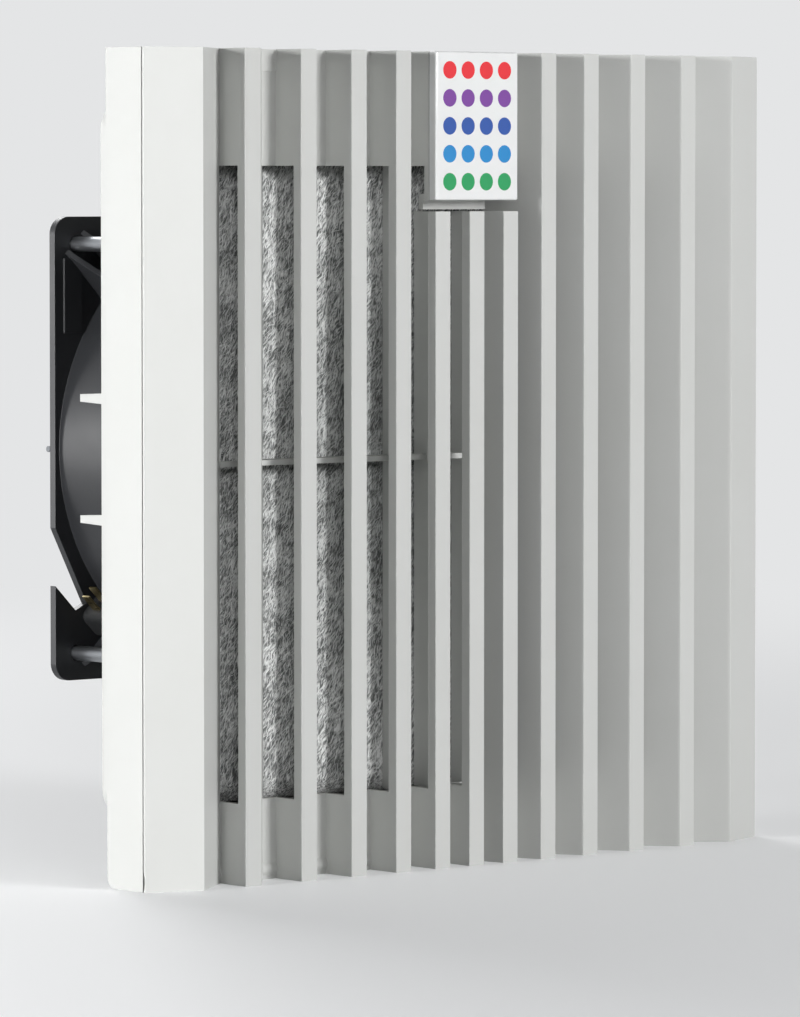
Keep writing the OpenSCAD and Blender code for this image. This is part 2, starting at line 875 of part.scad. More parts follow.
// Hub ring and twisted blades
module impeller() {
    hub_in = cup_d / 2 + slip / 2;
    hub_t = 1.6;
    hub_out = hub_in + hub_t;
    tip_r = bore_r - tip_gap;
    hub_inset = 4;
    hub_room = 1;
    hub_y = cup_y + hub_inset;
    blade_h = cup_back - hub_y - 3 * hub_room;
    blade_arc = 30;
    blade_t = 1.8;
    steps = 6;
    color(black_cast) raised() {
        ring(hub_in, hub_out, hub_y, cup_back - hub_room);
        for (i = [0 : blade_count - 1]) {
            translate([0, hub_y + hub_room, 0]) rotate([-90, i * 360 / blade_count, 0])
                linear_extrude(blade_h, twist = 34, slices = 8, $fn = 8) polygon(concat(
                    [for (s = [0 : steps]) blade_point(s / steps, -blade_t / 2, hub_out, tip_r, blade_arc)],
                    [for (s = [steps : -1 : 0]) blade_point(s / steps, blade_t / 2, hub_out, tip_r, blade_arc)]
                ));
        }
    }
}

// Point of a blade's section, a share s of the way out, shifted sideways by side
function blade_point(s, side, r0, r1, arc) =
    let (r = r0 - weld + s * (r1 - r0 + weld), a = arc * s * s)
    [r * cos(a) - side * sin(a), r * sin(a) + side * cos(a)] * (r / norm([r, side]));

base_frame();
support_grid();
filter_mat();
panel_gasket();
louvre_grille();
badge_plate();
fan_carrier();
carrier_screws();
fan_housing();
fan_screws();
wire_guard();
terminal_block();
terminal_blades();
bearing_tube();
bearing_outer_rings();
stator_core();
stator_windings();
impeller();
rotor_cup();
rotor_cage();
shaft();
bearing_inner_rings();
bearing_balls();
retaining_ring();
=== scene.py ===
"""Looks of a cabinet filter fan: louvred front, frame, fibre mat and axial fan, in their studio."""

import logging
import math
from dataclasses import dataclass, field
from enum import Enum

import bmesh
import bpy
from mathutils import Matrix, Vector, noise


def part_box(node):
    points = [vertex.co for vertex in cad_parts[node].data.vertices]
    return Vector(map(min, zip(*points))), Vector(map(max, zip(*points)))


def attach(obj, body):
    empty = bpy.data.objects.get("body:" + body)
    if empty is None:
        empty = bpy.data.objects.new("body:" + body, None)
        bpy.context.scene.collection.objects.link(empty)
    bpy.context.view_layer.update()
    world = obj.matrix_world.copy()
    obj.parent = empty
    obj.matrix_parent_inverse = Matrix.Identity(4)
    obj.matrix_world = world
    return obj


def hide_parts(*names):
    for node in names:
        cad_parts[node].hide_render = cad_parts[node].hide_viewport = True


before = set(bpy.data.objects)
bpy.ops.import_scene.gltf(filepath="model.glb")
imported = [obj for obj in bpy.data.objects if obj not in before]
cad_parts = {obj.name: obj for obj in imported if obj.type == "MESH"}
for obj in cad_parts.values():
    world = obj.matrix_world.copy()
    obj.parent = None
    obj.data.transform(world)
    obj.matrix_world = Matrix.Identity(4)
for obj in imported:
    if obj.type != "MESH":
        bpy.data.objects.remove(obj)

LOG = logging.getLogger("filter_fan")
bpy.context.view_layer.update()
MM = 0.001
SEED = 11
# Most that one screw is turned against another, in radians
MOST_TURN = 1.5
# Layer of the noise that shapes the mat's lumps
LUMP_LAYER = 3.7
# Turn that stands what lies flat upright
UPRIGHT = (math.pi / 2, 0.0, 0.0)
# Colour sockets of a mix node, and the factor by which a wave texture multiplies its place
MIX_A, MIX_B, MIX_OUT = 6, 7, 2
WAVE_FACTOR = 20.0
# Head radius, head height and shank radius of the screws, as in the solids
FAN_SCREW_MM = (3.6, 2.4, 1.9)
CARRIER_SCREW_MM = (2.825, 2.0, 1.25)
# Short names of types
Tree, Node, Socket = bpy.types.NodeTree, bpy.types.Node, bpy.types.NodeSocket
Mesh, Object = bpy.types.Mesh, bpy.types.Object


class Body(str, Enum):
    """Rigid bodies of the part."""

    HOUSING = "housing"
    ROTOR = "rotor"
    GRILLE = "grille"


class Slot(str, Enum):
    """Material slots of the part's record."""

    GREY_ABS = "grey_abs"
    BADGE = "badge"
    FIBRE = "filter_fibre"
    FOAM = "foam_seal"
    CAST = "cast_black"
    BLACK_PLASTIC = "black_plastic"
    ROTOR_STEEL = "rotor_steel"
    ZINC = "zinc_steel"


def linear(code: str) -> tuple[float, float, float, float]:
    """Turn an sRGB hex colour into linear RGBA.

    Args:
        code: Colour such as "#d0d2d0".

    Returns:
        Linear red, green, blue and an alpha of one.
    """
    values = [int(code[i : i + 2], 16) / 255 for i in (1, 3, 5)]
    return (*(v / 12.92 if v <= 0.04045 else ((v + 0.055) / 1.055) ** 2.4 for v in values), 1.0)


def add(tree: Tree, kind: str, inputs: dict | None = None, **settings) -> Node:
    """Add one node to a tree, with its settings, values and links.

    Args:
        tree: Shader or geometry tree that gets the node.
        kind: Type name of the node.
        inputs: Socket name, identifier or index, to a value or to the output socket that feeds it.
        **settings: Properties of the node.

    Returns:
        The new node.
    """
    node = tree.nodes.new(kind)
    for key, value in settings.items():
        setattr(node, key, value)
    for key, value in (inputs or {}).items():
        if isinstance(key, int):
            socket = node.inputs[key]
        else:
            socket = next(s for s in node.inputs if s.enabled and key in (s.identifier, s.name))
        if isinstance(value, Socket):
            tree.links.new(value, socket)
        else:
            socket.default_value = value
    return node


def calc(tree: Tree, operation: str, *values: float | Socket) -> Socket:
    """Add one sum to a tree.

    Args:
        tree: Shader or geometry tree that gets the sum.
        operation: Name of the operation.
        *values: What it works on, as values or as sockets.

    Returns:
        The socket that gives the result.
    """
    return add(tree, "ShaderNodeMath", dict(enumerate(values)), operation=operation).outputs[0]


def point(tree: Tree, **axes: float | Socket) -> Socket:
    """Join X, Y and Z, of which any may be left out at zero, into one vector socket."""
    return add(tree, "ShaderNodeCombineXYZ", axes).outputs[0]


@dataclass(frozen=True)
class Finish:
    """A material named for what the surface is made of. Kinds of finish add their own pattern."""

    name: str
    colour: str
    roughness: float
    metallic: float = 0.0
    ior: float = 1.5

    def material(self) -> bpy.types.Material:
        """Return the material, built on first use."""
        known = bpy.data.materials.get(self.name)
        if known:
            return known
        material = bpy.data.materials.new(self.name)
        material.use_nodes = True
        tree = material.node_tree
        shader = tree.nodes["Principled BSDF"]
        shader.inputs["Base Color"].default_value = linear(self.colour)
        shader.inputs["Roughness"].default_value = self.roughness
        shader.inputs["Metallic"].default_value = self.metallic
        shader.inputs["IOR"].default_value = self.ior
        place = add(tree, "ShaderNodeTexCoord").outputs["Object"]
        self.pattern(tree, shader, place)
        return material

    def pattern(self, tree: Tree, shader: Node, place: Socket) -> None:
        """Add the pattern of the finish; a plain finish has none.

        Args:
            tree: The material's tree.
            shader: Its principled shader.
            place: Socket that gives the place on the piece.
        """

    @staticmethod
    def per_mm(size_mm: float) -> float:
        """Return the texture scale whose features are about size_mm wide."""
        return 1.0 / (size_mm * MM)

    def mottle(self, tree: Tree, place: Socket, size_mm: float, detail: float = 2.0) -> Node:
        """Add a noise.

        Args:
            tree: The material's tree.
            place: Socket that gives the place.
            size_mm: Width of the noise's features.
            detail: Finer layers in the noise.

        Returns:
            The noise node, with its value first and its colour second.
        """
        return add(tree, "ShaderNodeTexNoise", {
            "Vector": place, "Scale": self.per_mm(size_mm), "Detail": detail})

    def tint(self, tree: Tree, shader: Node, factor: Socket, other: str) -> None:
        """Blend the base colour towards another one.

        Args:
            tree: The material's tree.
            shader: Its principled shader.
            factor: Socket that gives the share of the other colour.
            other: The other colour in hex.
        """
        mix = add(tree, "ShaderNodeMix", data_type="RGBA")
        mix.inputs[MIX_A].default_value = linear(self.colour)
        mix.inputs[MIX_B].default_value = linear(other)
        tree.links.new(factor, mix.inputs[0])
        tree.links.new(mix.outputs[MIX_OUT], shader.inputs["Base Color"])

    def vary_gloss(self, tree: Tree, shader: Node, share: Socket, less: float, more: float) -> None:
        """Let the roughness vary over the surface.

        Args:
            tree: The material's tree.
            shader: Its principled shader.
            share: Socket that gives the place between the two ends.
            less: How far below the finish's roughness it goes.
            more: How far above it goes.
        """
        gloss = add(tree, "ShaderNodeMapRange", {
            "Value": share, "To Min": self.roughness - less, "To Max": self.roughness + more})
        tree.links.new(gloss.outputs[0], shader.inputs["Roughness"])

    @staticmethod
    def relief(tree: Tree, shader: Node, height: Socket, strength: float, depth_mm: float) -> None:
        """Add a fine relief to the surface.

        Args:
            tree: The material's tree.
            shader: Its principled shader.
            height: Socket that gives the height.
            strength: Strength of the relief.
            depth_mm: Depth of the relief.
        """
        bump = add(tree, "ShaderNodeBump", {
            "Height": height, "Strength": strength, "Distance": depth_mm * MM})
        tree.links.new(bump.outputs[0], shader.inputs["Normal"])


@dataclass(frozen=True)
class MouldedPlastic(Finish):
    """Injection-moulded plastic from a spark-eroded mould: an even, faintly grained satin surface."""

    other: str = "#cfd0cd"
    grain_mm: float = 0.55
    grain_depth_mm: float = 0.018
    cloud_mm: float = 34.0

    def pattern(self, tree: Tree, shader: Node, place: Socket) -> None:
        """Add faint clouds of colour, a varied gloss and the mould's grain.

        The real grain is about 0.1 mm wide; it is drawn coarser so that it shows in the render.
        """
        clouds = self.mottle(tree, place, self.cloud_mm, 3.0)
        self.tint(tree, shader, clouds.outputs[0], self.other)
        grain = self.mottle(tree, place, self.grain_mm)
        self.vary_gloss(tree, shader, grain.outputs[0], 0.06, 0.06)
        self.relief(tree, shader, grain.outputs[0], 0.35, self.grain_depth_mm)


@dataclass(frozen=True)
class CastCoat(Finish):
    """Black coat on die-cast metal: satin, with the low orange peel of a baked coat."""

    other: str = "#2c2d30"
    cloud_mm: float = 18.0
    peel_mm: float = 1.3
    peel_depth_mm: float = 0.03

    def pattern(self, tree: Tree, shader: Node, place: Socket) -> None:
        """Add the coat's peel, its dusty clouds and a varied gloss."""
        clouds = self.mottle(tree, place, self.cloud_mm, 4.0)
        self.tint(tree, shader, clouds.outputs[0], self.other)
        self.vary_gloss(tree, shader, clouds.outputs[0], 0.08, 0.1)
        peel = self.mottle(tree, place, self.peel_mm, 1.0)
        self.relief(tree, shader, peel.outputs[0], 0.4, self.peel_depth_mm)


@dataclass(frozen=True)
class WorkedMetal(Finish):
    """Plated, ground or drawn metal: fine marks along one direction over a soft shine."""

    other: str = "#9fa2a6"
    mark_mm: tuple[float, float, float] = (0.4, 6.0, 0.4)
    mark_depth_mm: float = 0.006

    def pattern(self, tree: Tree, shader: Node, place: Socket) -> None:
        """Add long thin marks to the colour, the gloss and the surface."""
        scale = Vector([self.per_mm(size) for size in self.mark_mm])
        stretched = add(tree, "ShaderNodeMapping", {"Vector": place, "Scale": scale})
        marks = add(tree, "ShaderNodeTexNoise", {"Vector": stretched.outputs[0], "Scale": 1.0, "Detail": 3.0})
        self.tint(tree, shader, marks.outputs[0], self.other)
        self.vary_gloss(tree, shader, marks.outputs[0], 0.1, 0.12)
        self.relief(tree, shader, marks.outputs[0], 0.3, self.mark_depth_mm)


@dataclass(frozen=True)
class BandedStack(Finish):
    """Layers stacked or wound side by side: stamped sheets or enamelled wire."""

    other: str = "#3a3b3e"
    band_mm: float = 0.5
    axis: str = "Y"
    band_depth_mm: float = 0.12

    def pattern(self, tree: Tree, shader: Node, place: Socket) -> None:
        """Add one dark line for each layer, as colour and as relief."""
        wave = add(tree, "ShaderNodeTexWave", {
            "Vector": place,
            "Scale": self.per_mm(self.band_mm) / WAVE_FACTOR,
            "Distortion": 0.4,
            "Detail": 1.0,
        }, bands_direction=self.axis)
        self.tint(tree, shader, wave.outputs[1], self.other)
        self.relief(tree, shader, wave.outputs[1], 0.6, self.band_depth_mm)


@dataclass(frozen=True)
class BondedFibre(Finish):
    """Bonded synthetic fibre: a dull, cloudy felt with pale threads leaning across darker ones.

    Real threads are about 0.03 mm wide; they are drawn coarser so that they show in the render.
    """

    other: str = "#b9bcbb"
    thread_mm: float = 0.34
    stretch: float = 6.0
    leans: tuple[float, float] = (0.75, 0.2)
    swirl_mm: float = 7.0
    bend_mm: float = 2.4
    clump_mm: float = 6.0
    clump_share: float = 0.28
    dark_to_pale: tuple[float, float] = (0.6, 0.8)
    sheen: float = 0.25
    thread_depth_mm: float = 0.4
    # Colour of the painted shade in the middle of the mat, and the reach from the axis over which it fades
    # out, in mm
    middle_shade: str = "#bcbebd"
    middle_shade_mm: tuple[float, float] = (10.0, 78.0)

    def pattern(self, tree: Tree, shader: Node, place: Socket) -> None:
        """Cross two bent, stretched noises into threads, over clumps of light and dark."""
        swirl = self.mottle(tree, place, self.swirl_mm)
        bent = add(tree, "ShaderNodeVectorMath", {
            0: swirl.outputs[1], 1: (self.bend_mm * MM,) * 3}, operation="MULTIPLY")
        moved = add(tree, "ShaderNodeVectorMath", {0: place, 1: bent.outputs[0]}, operation="ADD")
        thread = self.thread_mm * MM
        layers = []
        for lean in self.leans:
            turned = add(tree, "ShaderNodeMapping", {
                "Vector": moved.outputs[0],
                "Rotation": (0.0, lean, 0.0),
                "Scale": (thread, thread, self.stretch * thread),
            }, vector_type="TEXTURE")
            layer = add(tree, "ShaderNodeTexNoise", {
                "Vector": turned.outputs[0], "Scale": 1.0, "Detail": 3.0})
            layers.append(layer.outputs[0])
        threads = calc(tree, "MAXIMUM", *layers)
        clumps = self.mottle(tree, moved.outputs[0], self.clump_mm)
        both = calc(tree, "MULTIPLY_ADD", clumps.outputs[0], self.clump_share, threads)
        dark, pale = self.dark_to_pale
        spread = add(tree, "ShaderNodeMapRange", {"Value": both, "From Min": dark, "From Max": pale})
        self.shade_towards_middle(tree, shader, place, spread.outputs[0])
        shader.inputs["Sheen Weight"].default_value = self.sheen
        self.relief(tree, shader, threads, 0.8, self.thread_depth_mm)

    def shade_towards_middle(self, tree: Tree, shader: Node, place: Socket, share: Socket) -> None:
        """Mix the fibre's two colours and darken them towards the middle: painted shade for the darker middle
        of the mat behind the fan's hub.

        Args:
            tree: The material's tree.
            shader: Its principled shader.
            place: Socket that gives the place on the mat.
            share: Socket that gives the share of the pale colour.
        """
        # Painted shade: the fibre colour is multiplied darker towards the fan's axis
        flat = add(tree, "ShaderNodeVectorMath", {0: place, 1: (1.0, 0.0, 1.0)}, operation="MULTIPLY")
        reach = add(tree, "ShaderNodeVectorMath", {0: flat.outputs[0]}, operation="LENGTH")
        near, far = self.middle_shade_mm
        unshaded = add(tree, "ShaderNodeMapRange", {
            "Value": reach.outputs["Value"], "From Min": near * MM, "From Max": far * MM},
            interpolation_type="SMOOTHSTEP")
        self.tint(tree, shader, share, self.other)
        fibre = shader.inputs["Base Color"].links[0].from_socket
        tone = add(tree, "ShaderNodeMix", {"Factor_Float": unshaded.outputs[0]}, data_type="RGBA")
        tone.inputs[MIX_A].default_value = linear(self.middle_shade)
        tone.inputs[MIX_B].default_value = linear("#ffffff")
        greyed = add(tree, "ShaderNodeMix", {"Factor_Float": 1.0}, data_type="RGBA", blend_type="MULTIPLY")
        tree.links.new(fibre, greyed.inputs[MIX_A])
        tree.links.new(tone.outputs[MIX_OUT], greyed.inputs[MIX_B])
        tree.links.new(greyed.outputs[MIX_OUT], shader.inputs["Base Color"])


@dataclass(frozen=True)
class LooseFibre(BondedFibre):
    """Single fibres that stand out of the felt: pale, faintly glossy threads."""

    def pattern(self, tree: Tree, shader: Node, place: Socket) -> None:
        """Vary the fibres from clump to clump, with the same painted shade towards the middle as the felt."""
        clumps = self.mottle(tree, place, self.clump_mm)
        self.shade_towards_middle(tree, shader, place, clumps.outputs[0])


@dataclass(frozen=True)
class CellFoam(Finish):
    """Closed-cell foam: a dull skin of small round cells."""

    cell_mm: float = 0.7
    cell_depth_mm: float = 0.15

    def pattern(self, tree: Tree, shader: Node, place: Socket) -> None:
        """Add the relief of the cells."""
        cells = add(tree, "ShaderNodeTexVoronoi", {"Vector": place, "Scale": self.per_mm(self.cell_mm)})
        self.relief(tree, shader, cells.outputs[0], 0.7, self.cell_depth_mm)


@dataclass(frozen=True)
class PrintedGloss(Finish):
    """Gloss print under a clear coat: even colour and a sharp, slightly wavy shine."""

    coat: float = 0.4
    coat_roughness: float = 0.08
    wave_mm: float = 7.0
    wave_depth_mm: float = 0.05

    def pattern(self, tree: Tree, shader: Node, place: Socket) -> None:
        """Add the coat and its slow waves."""
        shader.inputs["Coat Weight"].default_value = self.coat
        shader.inputs["Coat Roughness"].default_value = self.coat_roughness
        waves = self.mottle(tree, place, self.wave_mm)
        self.relief(tree, shader, waves.outputs[0], 0.15, self.wave_depth_mm)


LIGHT_ABS = MouldedPlastic("light_grey_abs_moulded", "#cecfcd", 0.46, other="#c8c9c6")
INNER_ABS = MouldedPlastic("grey_abs_inner_moulding", "#c6c8c6", 0.5, other="#bdbfbd")
BLACK_COAT = CastCoat("die_cast_aluminium_black_coat", "#232426", 0.4, other="#2d2e31")
ROTOR_COAT = CastCoat("drawn_steel_black_coat", "#17181a", 0.36, peel_mm=0.9)
BLACK_NYLON = MouldedPlastic("glass_filled_nylon_black", "#1a1b1c", 0.5, other="#232425", grain_mm=0.8)
BADGE_WHITE = PrintedGloss("white_polycarbonate_plate", "#eceded", 0.22, ior=1.58)
ZINC_STEEL = WorkedMetal("zinc_plated_steel_wire", "#b4b7bb", 0.34, metallic=1.0)
BRIGHT_STEEL = WorkedMetal("ground_bearing_steel", "#c3c5c8", 0.2, metallic=1.0, other="#aeb1b5")
TURNED_ALLOY = WorkedMetal("turned_aluminium", "#b9b9b6", 0.32, metallic=1.0, mark_mm=(4.0, 0.3, 4.0))
TINNED_BRASS = WorkedMetal("tinned_brass_tab", "#c9b98d", 0.3, metallic=1.0, other="#b7a878")
FELT = BondedFibre("bonded_polyester_filter_felt", "#565857", 0.95, other="#dcdddc")
STRAND = LooseFibre("polyester_fibre_strand", "#cfd1d0", 0.55, other="#f4f5f4")
FOAM = CellFoam("closed_cell_foam_seal", "#2b2c2d", 0.9)
SHEETS = BandedStack("electrical_steel_laminations", "#6c6f73", 0.45, metallic=0.8)
COPPER = BandedStack("enamelled_copper_wire", "#b1622f", 0.35, metallic=0.7, other="#6b3517", axis="X")


class Dot(Enum):
    """Colours of the badge's rows of dots, from top to bottom."""

    RED = "#e8212d"
    PURPLE = "#7a3c9c"
    BLUE = "#1f50a6"
    SKY = "#1188cc"
    GREEN = "#0f9c58"


def new_piece(name: str, mesh: Mesh, finish: Finish | None, body: Body, slot: Slot, *nodes: str) -> Object:
    """Put a finished mesh into the scene as one piece of the part.

    Args:
        name: Name of the piece.
        mesh: Its mesh, already in place.
        finish: Its finish, or None where the mesh has its material.
        body: Body that it moves with.
        slot: Slot of the record that it takes its finish from; not used.
        *nodes: Solids that it stands for.

    Returns:
        The piece.
    """
    mesh.name = name
    if finish:
        mesh.materials.clear()
        mesh.materials.append(finish.material())
    piece = bpy.data.objects.new(name, mesh)
    bpy.context.scene.collection.objects.link(piece)
    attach(piece, body.value)
    if nodes:
        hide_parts(*nodes)
    LOG.info("%s: %d faces on %s", name, len(mesh.polygons), body.value)
    return piece


def evaluated_mesh(host: Object) -> Mesh:
    """Return the host's mesh with its modifiers applied, and remove the host."""
    graph = bpy.context.evaluated_depsgraph_get()
    mesh = bpy.data.meshes.new_from_object(host.evaluated_get(graph))
    bpy.data.objects.remove(host)
    return mesh


def host_object(mesh: Mesh) -> Object:
    """Return a passing object that carries a mesh while it is worked on."""
    host = bpy.data.objects.new("host", mesh)
    bpy.context.scene.collection.objects.link(host)
    return host


def softened(node: str, width_mm: float, segments: int = 2) -> Mesh:
    """Copy a solid's mesh and round its edges.

    Args:
        node: Name of the solid.
        width_mm: Width of the rounding.
        segments: Faces across the rounding.

    Returns:
        A new mesh in the same place.
    """
    shape = bmesh.new()
    shape.from_mesh(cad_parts[node].data)
    bmesh.ops.remove_doubles(shape, verts=shape.verts, dist=0.002 * MM)
    bmesh.ops.dissolve_limit(shape, angle_limit=math.radians(0.8), verts=shape.verts, edges=shape.edges)
    mesh = bpy.data.meshes.new(node)
    shape.to_mesh(mesh)
    shape.free()
    host = host_object(mesh)
    bevel = host.modifiers.new("round", "BEVEL")
    bevel.width = width_mm * MM
    bevel.segments = segments
    bevel.limit_method = "ANGLE"
    bevel.angle_limit = math.radians(24)
    bevel.use_clamp_overlap = True
    bevel.miter_outer = "MITER_ARC"
    weight = host.modifiers.new("normals", "WEIGHTED_NORMAL")
    weight.keep_sharp = True
    mesh.shade_smooth()
    mesh.set_sharp_from_angle(angle=math.radians(50))
    return evaluated_mesh(host)


def rounded(name: str, node: str, width_mm: float, finish: Finish, body: Body, slot: Slot,
            segments: int = 2) -> Object:
    """Make a piece that is one solid with rounded edges.

    Args:
        name: Name of the piece.
        node: Solid that it copies and stands for.
        width_mm: Width of the rounding.
        finish: Its finish.
        body: Body that it moves with.
        slot: Slot of the record that it takes its finish from.
        segments: Faces across the rounding.

    Returns:
        The piece.
    """
    return new_piece(name, softened(node, width_mm, segments), finish, body, slot, node)


def lathe(profile: list[tuple[float, float]], turns: int = 64) -> Mesh:
    """Turn a profile about the Y axis.

    Args:
        profile: Radius and Y of each point in millimetres, from the axis or back to its start.
        turns: Steps round the axis.

    Returns:
        A smooth closed mesh.
    """
    shape = bmesh.new()
    rings = []
    angles = [2 * math.pi * i / turns for i in range(turns)]
    for radius, y in profile:
        points = [Vector((radius * math.cos(a), y, radius * math.sin(a))) * MM for a in angles]
        rings.append([shape.verts.new(point) for point in points])
    for low, high in zip(rings, rings[1:]):
        for i in range(turns):
            shape.faces.new((low[i - 1], low[i], high[i], high[i - 1]))
    bmesh.ops.remove_doubles(shape, verts=shape.verts, dist=0.001 * MM)
    bmesh.ops.recalc_face_normals(shape, faces=shape.faces)
    mesh = bpy.data.meshes.new("turned")
    shape.to_mesh(mesh)
    shape.free()
    mesh.shade_smooth()
    mesh.set_sharp_from_angle(angle=math.radians(35))
    return mesh


def geometry_tree(name: str, sizes: dict[str, float]) -> tuple[Tree, dict[str, Socket]]:
    """Start a geometry tree with one named input for each size.

    Args:
        name: Name of the tree.
        sizes: Input names and their values.

    Returns:
        The tree and the sockets that give its inputs.
    """
    tree = bpy.data.node_groups.new(name, "GeometryNodeTree")
    tree.interface.new_socket("Geometry", in_out="OUTPUT", socket_type="NodeSocketGeometry")
    for key, value in sizes.items():
        kind = "NodeSocketInt" if isinstance(value, int) else "NodeSocketFloat"
        tree.interface.new_socket(key, in_out="INPUT", socket_type=kind)
    entry = tree.nodes.new("NodeGroupInput")
    return tree, {key: entry.outputs[key] for key in sizes}


def grown(tree: Tree, shape: Socket, finish: Finish, sizes: dict[str, float]) -> Mesh:
    """Close a geometry tree and turn its result into a plain mesh.

    Args:
        tree: The tree.
        shape: Socket that gives the finished geometry.
        finish: Finish of the result.
        sizes: Values of the tree's inputs.

    Returns:
        The mesh.
    """
    real = add(tree, "GeometryNodeRealizeInstances", {"Geometry": shape})
    dressed = add(tree, "GeometryNodeSetMaterial", {
        "Geometry": real.outputs[0], "Material": finish.material()})
    out = tree.nodes.new("NodeGroupOutput")
    tree.links.new(dressed.outputs[0], out.inputs[0])
    host = host_object(bpy.data.meshes.new(tree.name))
    modifier = host.modifiers.new("grow", "NODES")
    modifier.node_group = tree
    for item in tree.interface.items_tree:
        if item.item_type == "SOCKET" and item.in_out == "INPUT":
            modifier[item.identifier] = sizes[item.name]
    mesh = evaluated_mesh(host)
    mesh.shade_smooth()
    mesh.set_sharp_from_angle(angle=math.radians(40))
    return mesh


def centre_and_size(node: str) -> tuple[Vector, Vector]:
    """Return the middle and the size of a solid's box, in millimetres."""
    low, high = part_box(node)
    return (low + high) / (2 * MM), (high - low) / MM


@dataclass
class GrilleFront:
    """Hinged louvre front with its badge."""

    edge_mm: float = 0.4
    badge_edge_mm: float = 0.5
    dot_columns: int = 4
    dot_d_mm: float = 4.4
    dot_t_mm: float = 0.04
    margin_mm: float = 4.6
    rib_x_mm: float = 75.0
    rib_y_mm: tuple[float, float] = (-10.6, -8.6)
    rib_z_mm: tuple[float, float] = (0.05, 1.35)

    def build(self) -> None:
        """Make the grille, its cross rib, the badge plate and its rows of dots."""
        body = Body.GRILLE
        rounded("louvre_front", "louvre_grille", self.edge_mm, LIGHT_ABS, body, Slot.GREY_ABS)
        rounded("badge_block", "badge_plate", self.badge_edge_mm, BADGE_WHITE, body, Slot.BADGE, 3)
        new_piece("rib_bar", self.rib_mesh(), LIGHT_ABS, body, Slot.GREY_ABS)
        for row, colour in enumerate(Dot):
            self.dot_row(row, colour)

    def rib_mesh(self) -> Mesh:
        """Return the front of the cross rib, which ties the blades to the sides of the windows."""
        low = Vector((-self.rib_x_mm, self.rib_y_mm[0], self.rib_z_mm[0])) * MM
        high = Vector((self.rib_x_mm, self.rib_y_mm[1], self.rib_z_mm[1])) * MM
        shape = bmesh.new()
        bmesh.ops.create_cube(shape, size=1.0)
        bmesh.ops.scale(shape, vec=high - low, verts=shape.verts)
        bmesh.ops.translate(shape, vec=(low + high) / 2, verts=shape.verts)
        mesh = bpy.data.meshes.new("rib")
        shape.to_mesh(mesh)
        shape.free()
        return mesh

    def dot_row(self, row: int, colour: Dot) -> None:
        """Lay one row of printed dots on the badge.

        Args:
            row: Row counted from the top.
            colour: Colour of the row.
        """
        middle, size = centre_and_size("badge_plate")
        step_x = (size.x - 2 * self.margin_mm) / (self.dot_columns - 1)
        step_z = (size.z - 2 * self.margin_mm) / (len(Dot) - 1)
        top = middle.z + size.z / 2 - self.margin_mm
        sizes = {
            "Count": self.dot_columns,
            "Step": step_x * MM,
            "First": (middle.x - step_x * (self.dot_columns - 1) / 2) * MM,
            "Front": (middle.y - size.y / 2) * MM,
            "Height": (top - row * step_z) * MM,
            "Radius": self.dot_d_mm / 2 * MM,
            "Thickness": self.dot_t_mm * MM,
        }
        tree, given = geometry_tree("dot_row", sizes)
        line = add(tree, "GeometryNodeMeshLine", {
            "Count": given["Count"],
            "Start Location": point(tree, X=given["First"], Y=given["Front"], Z=given["Height"]),
            "Offset": point(tree, X=given["Step"]),
        })
        dot = add(tree, "GeometryNodeMeshCylinder", {
            "Vertices": 40, "Radius": given["Radius"], "Depth": given["Thickness"]})
        placed = add(tree, "GeometryNodeInstanceOnPoints", {
            "Points": line.outputs[0], "Instance": dot.outputs[0], "Rotation": UPRIGHT})
        ink = PrintedGloss(f"{colour.name.lower()}_ink_on_plate", colour.value, 0.24)
        mesh = grown(tree, placed.outputs[0], ink, sizes)
        new_piece(f"badge_dots_{colour.name.lower()}", mesh, None, Body.GRILLE, Slot.BADGE)


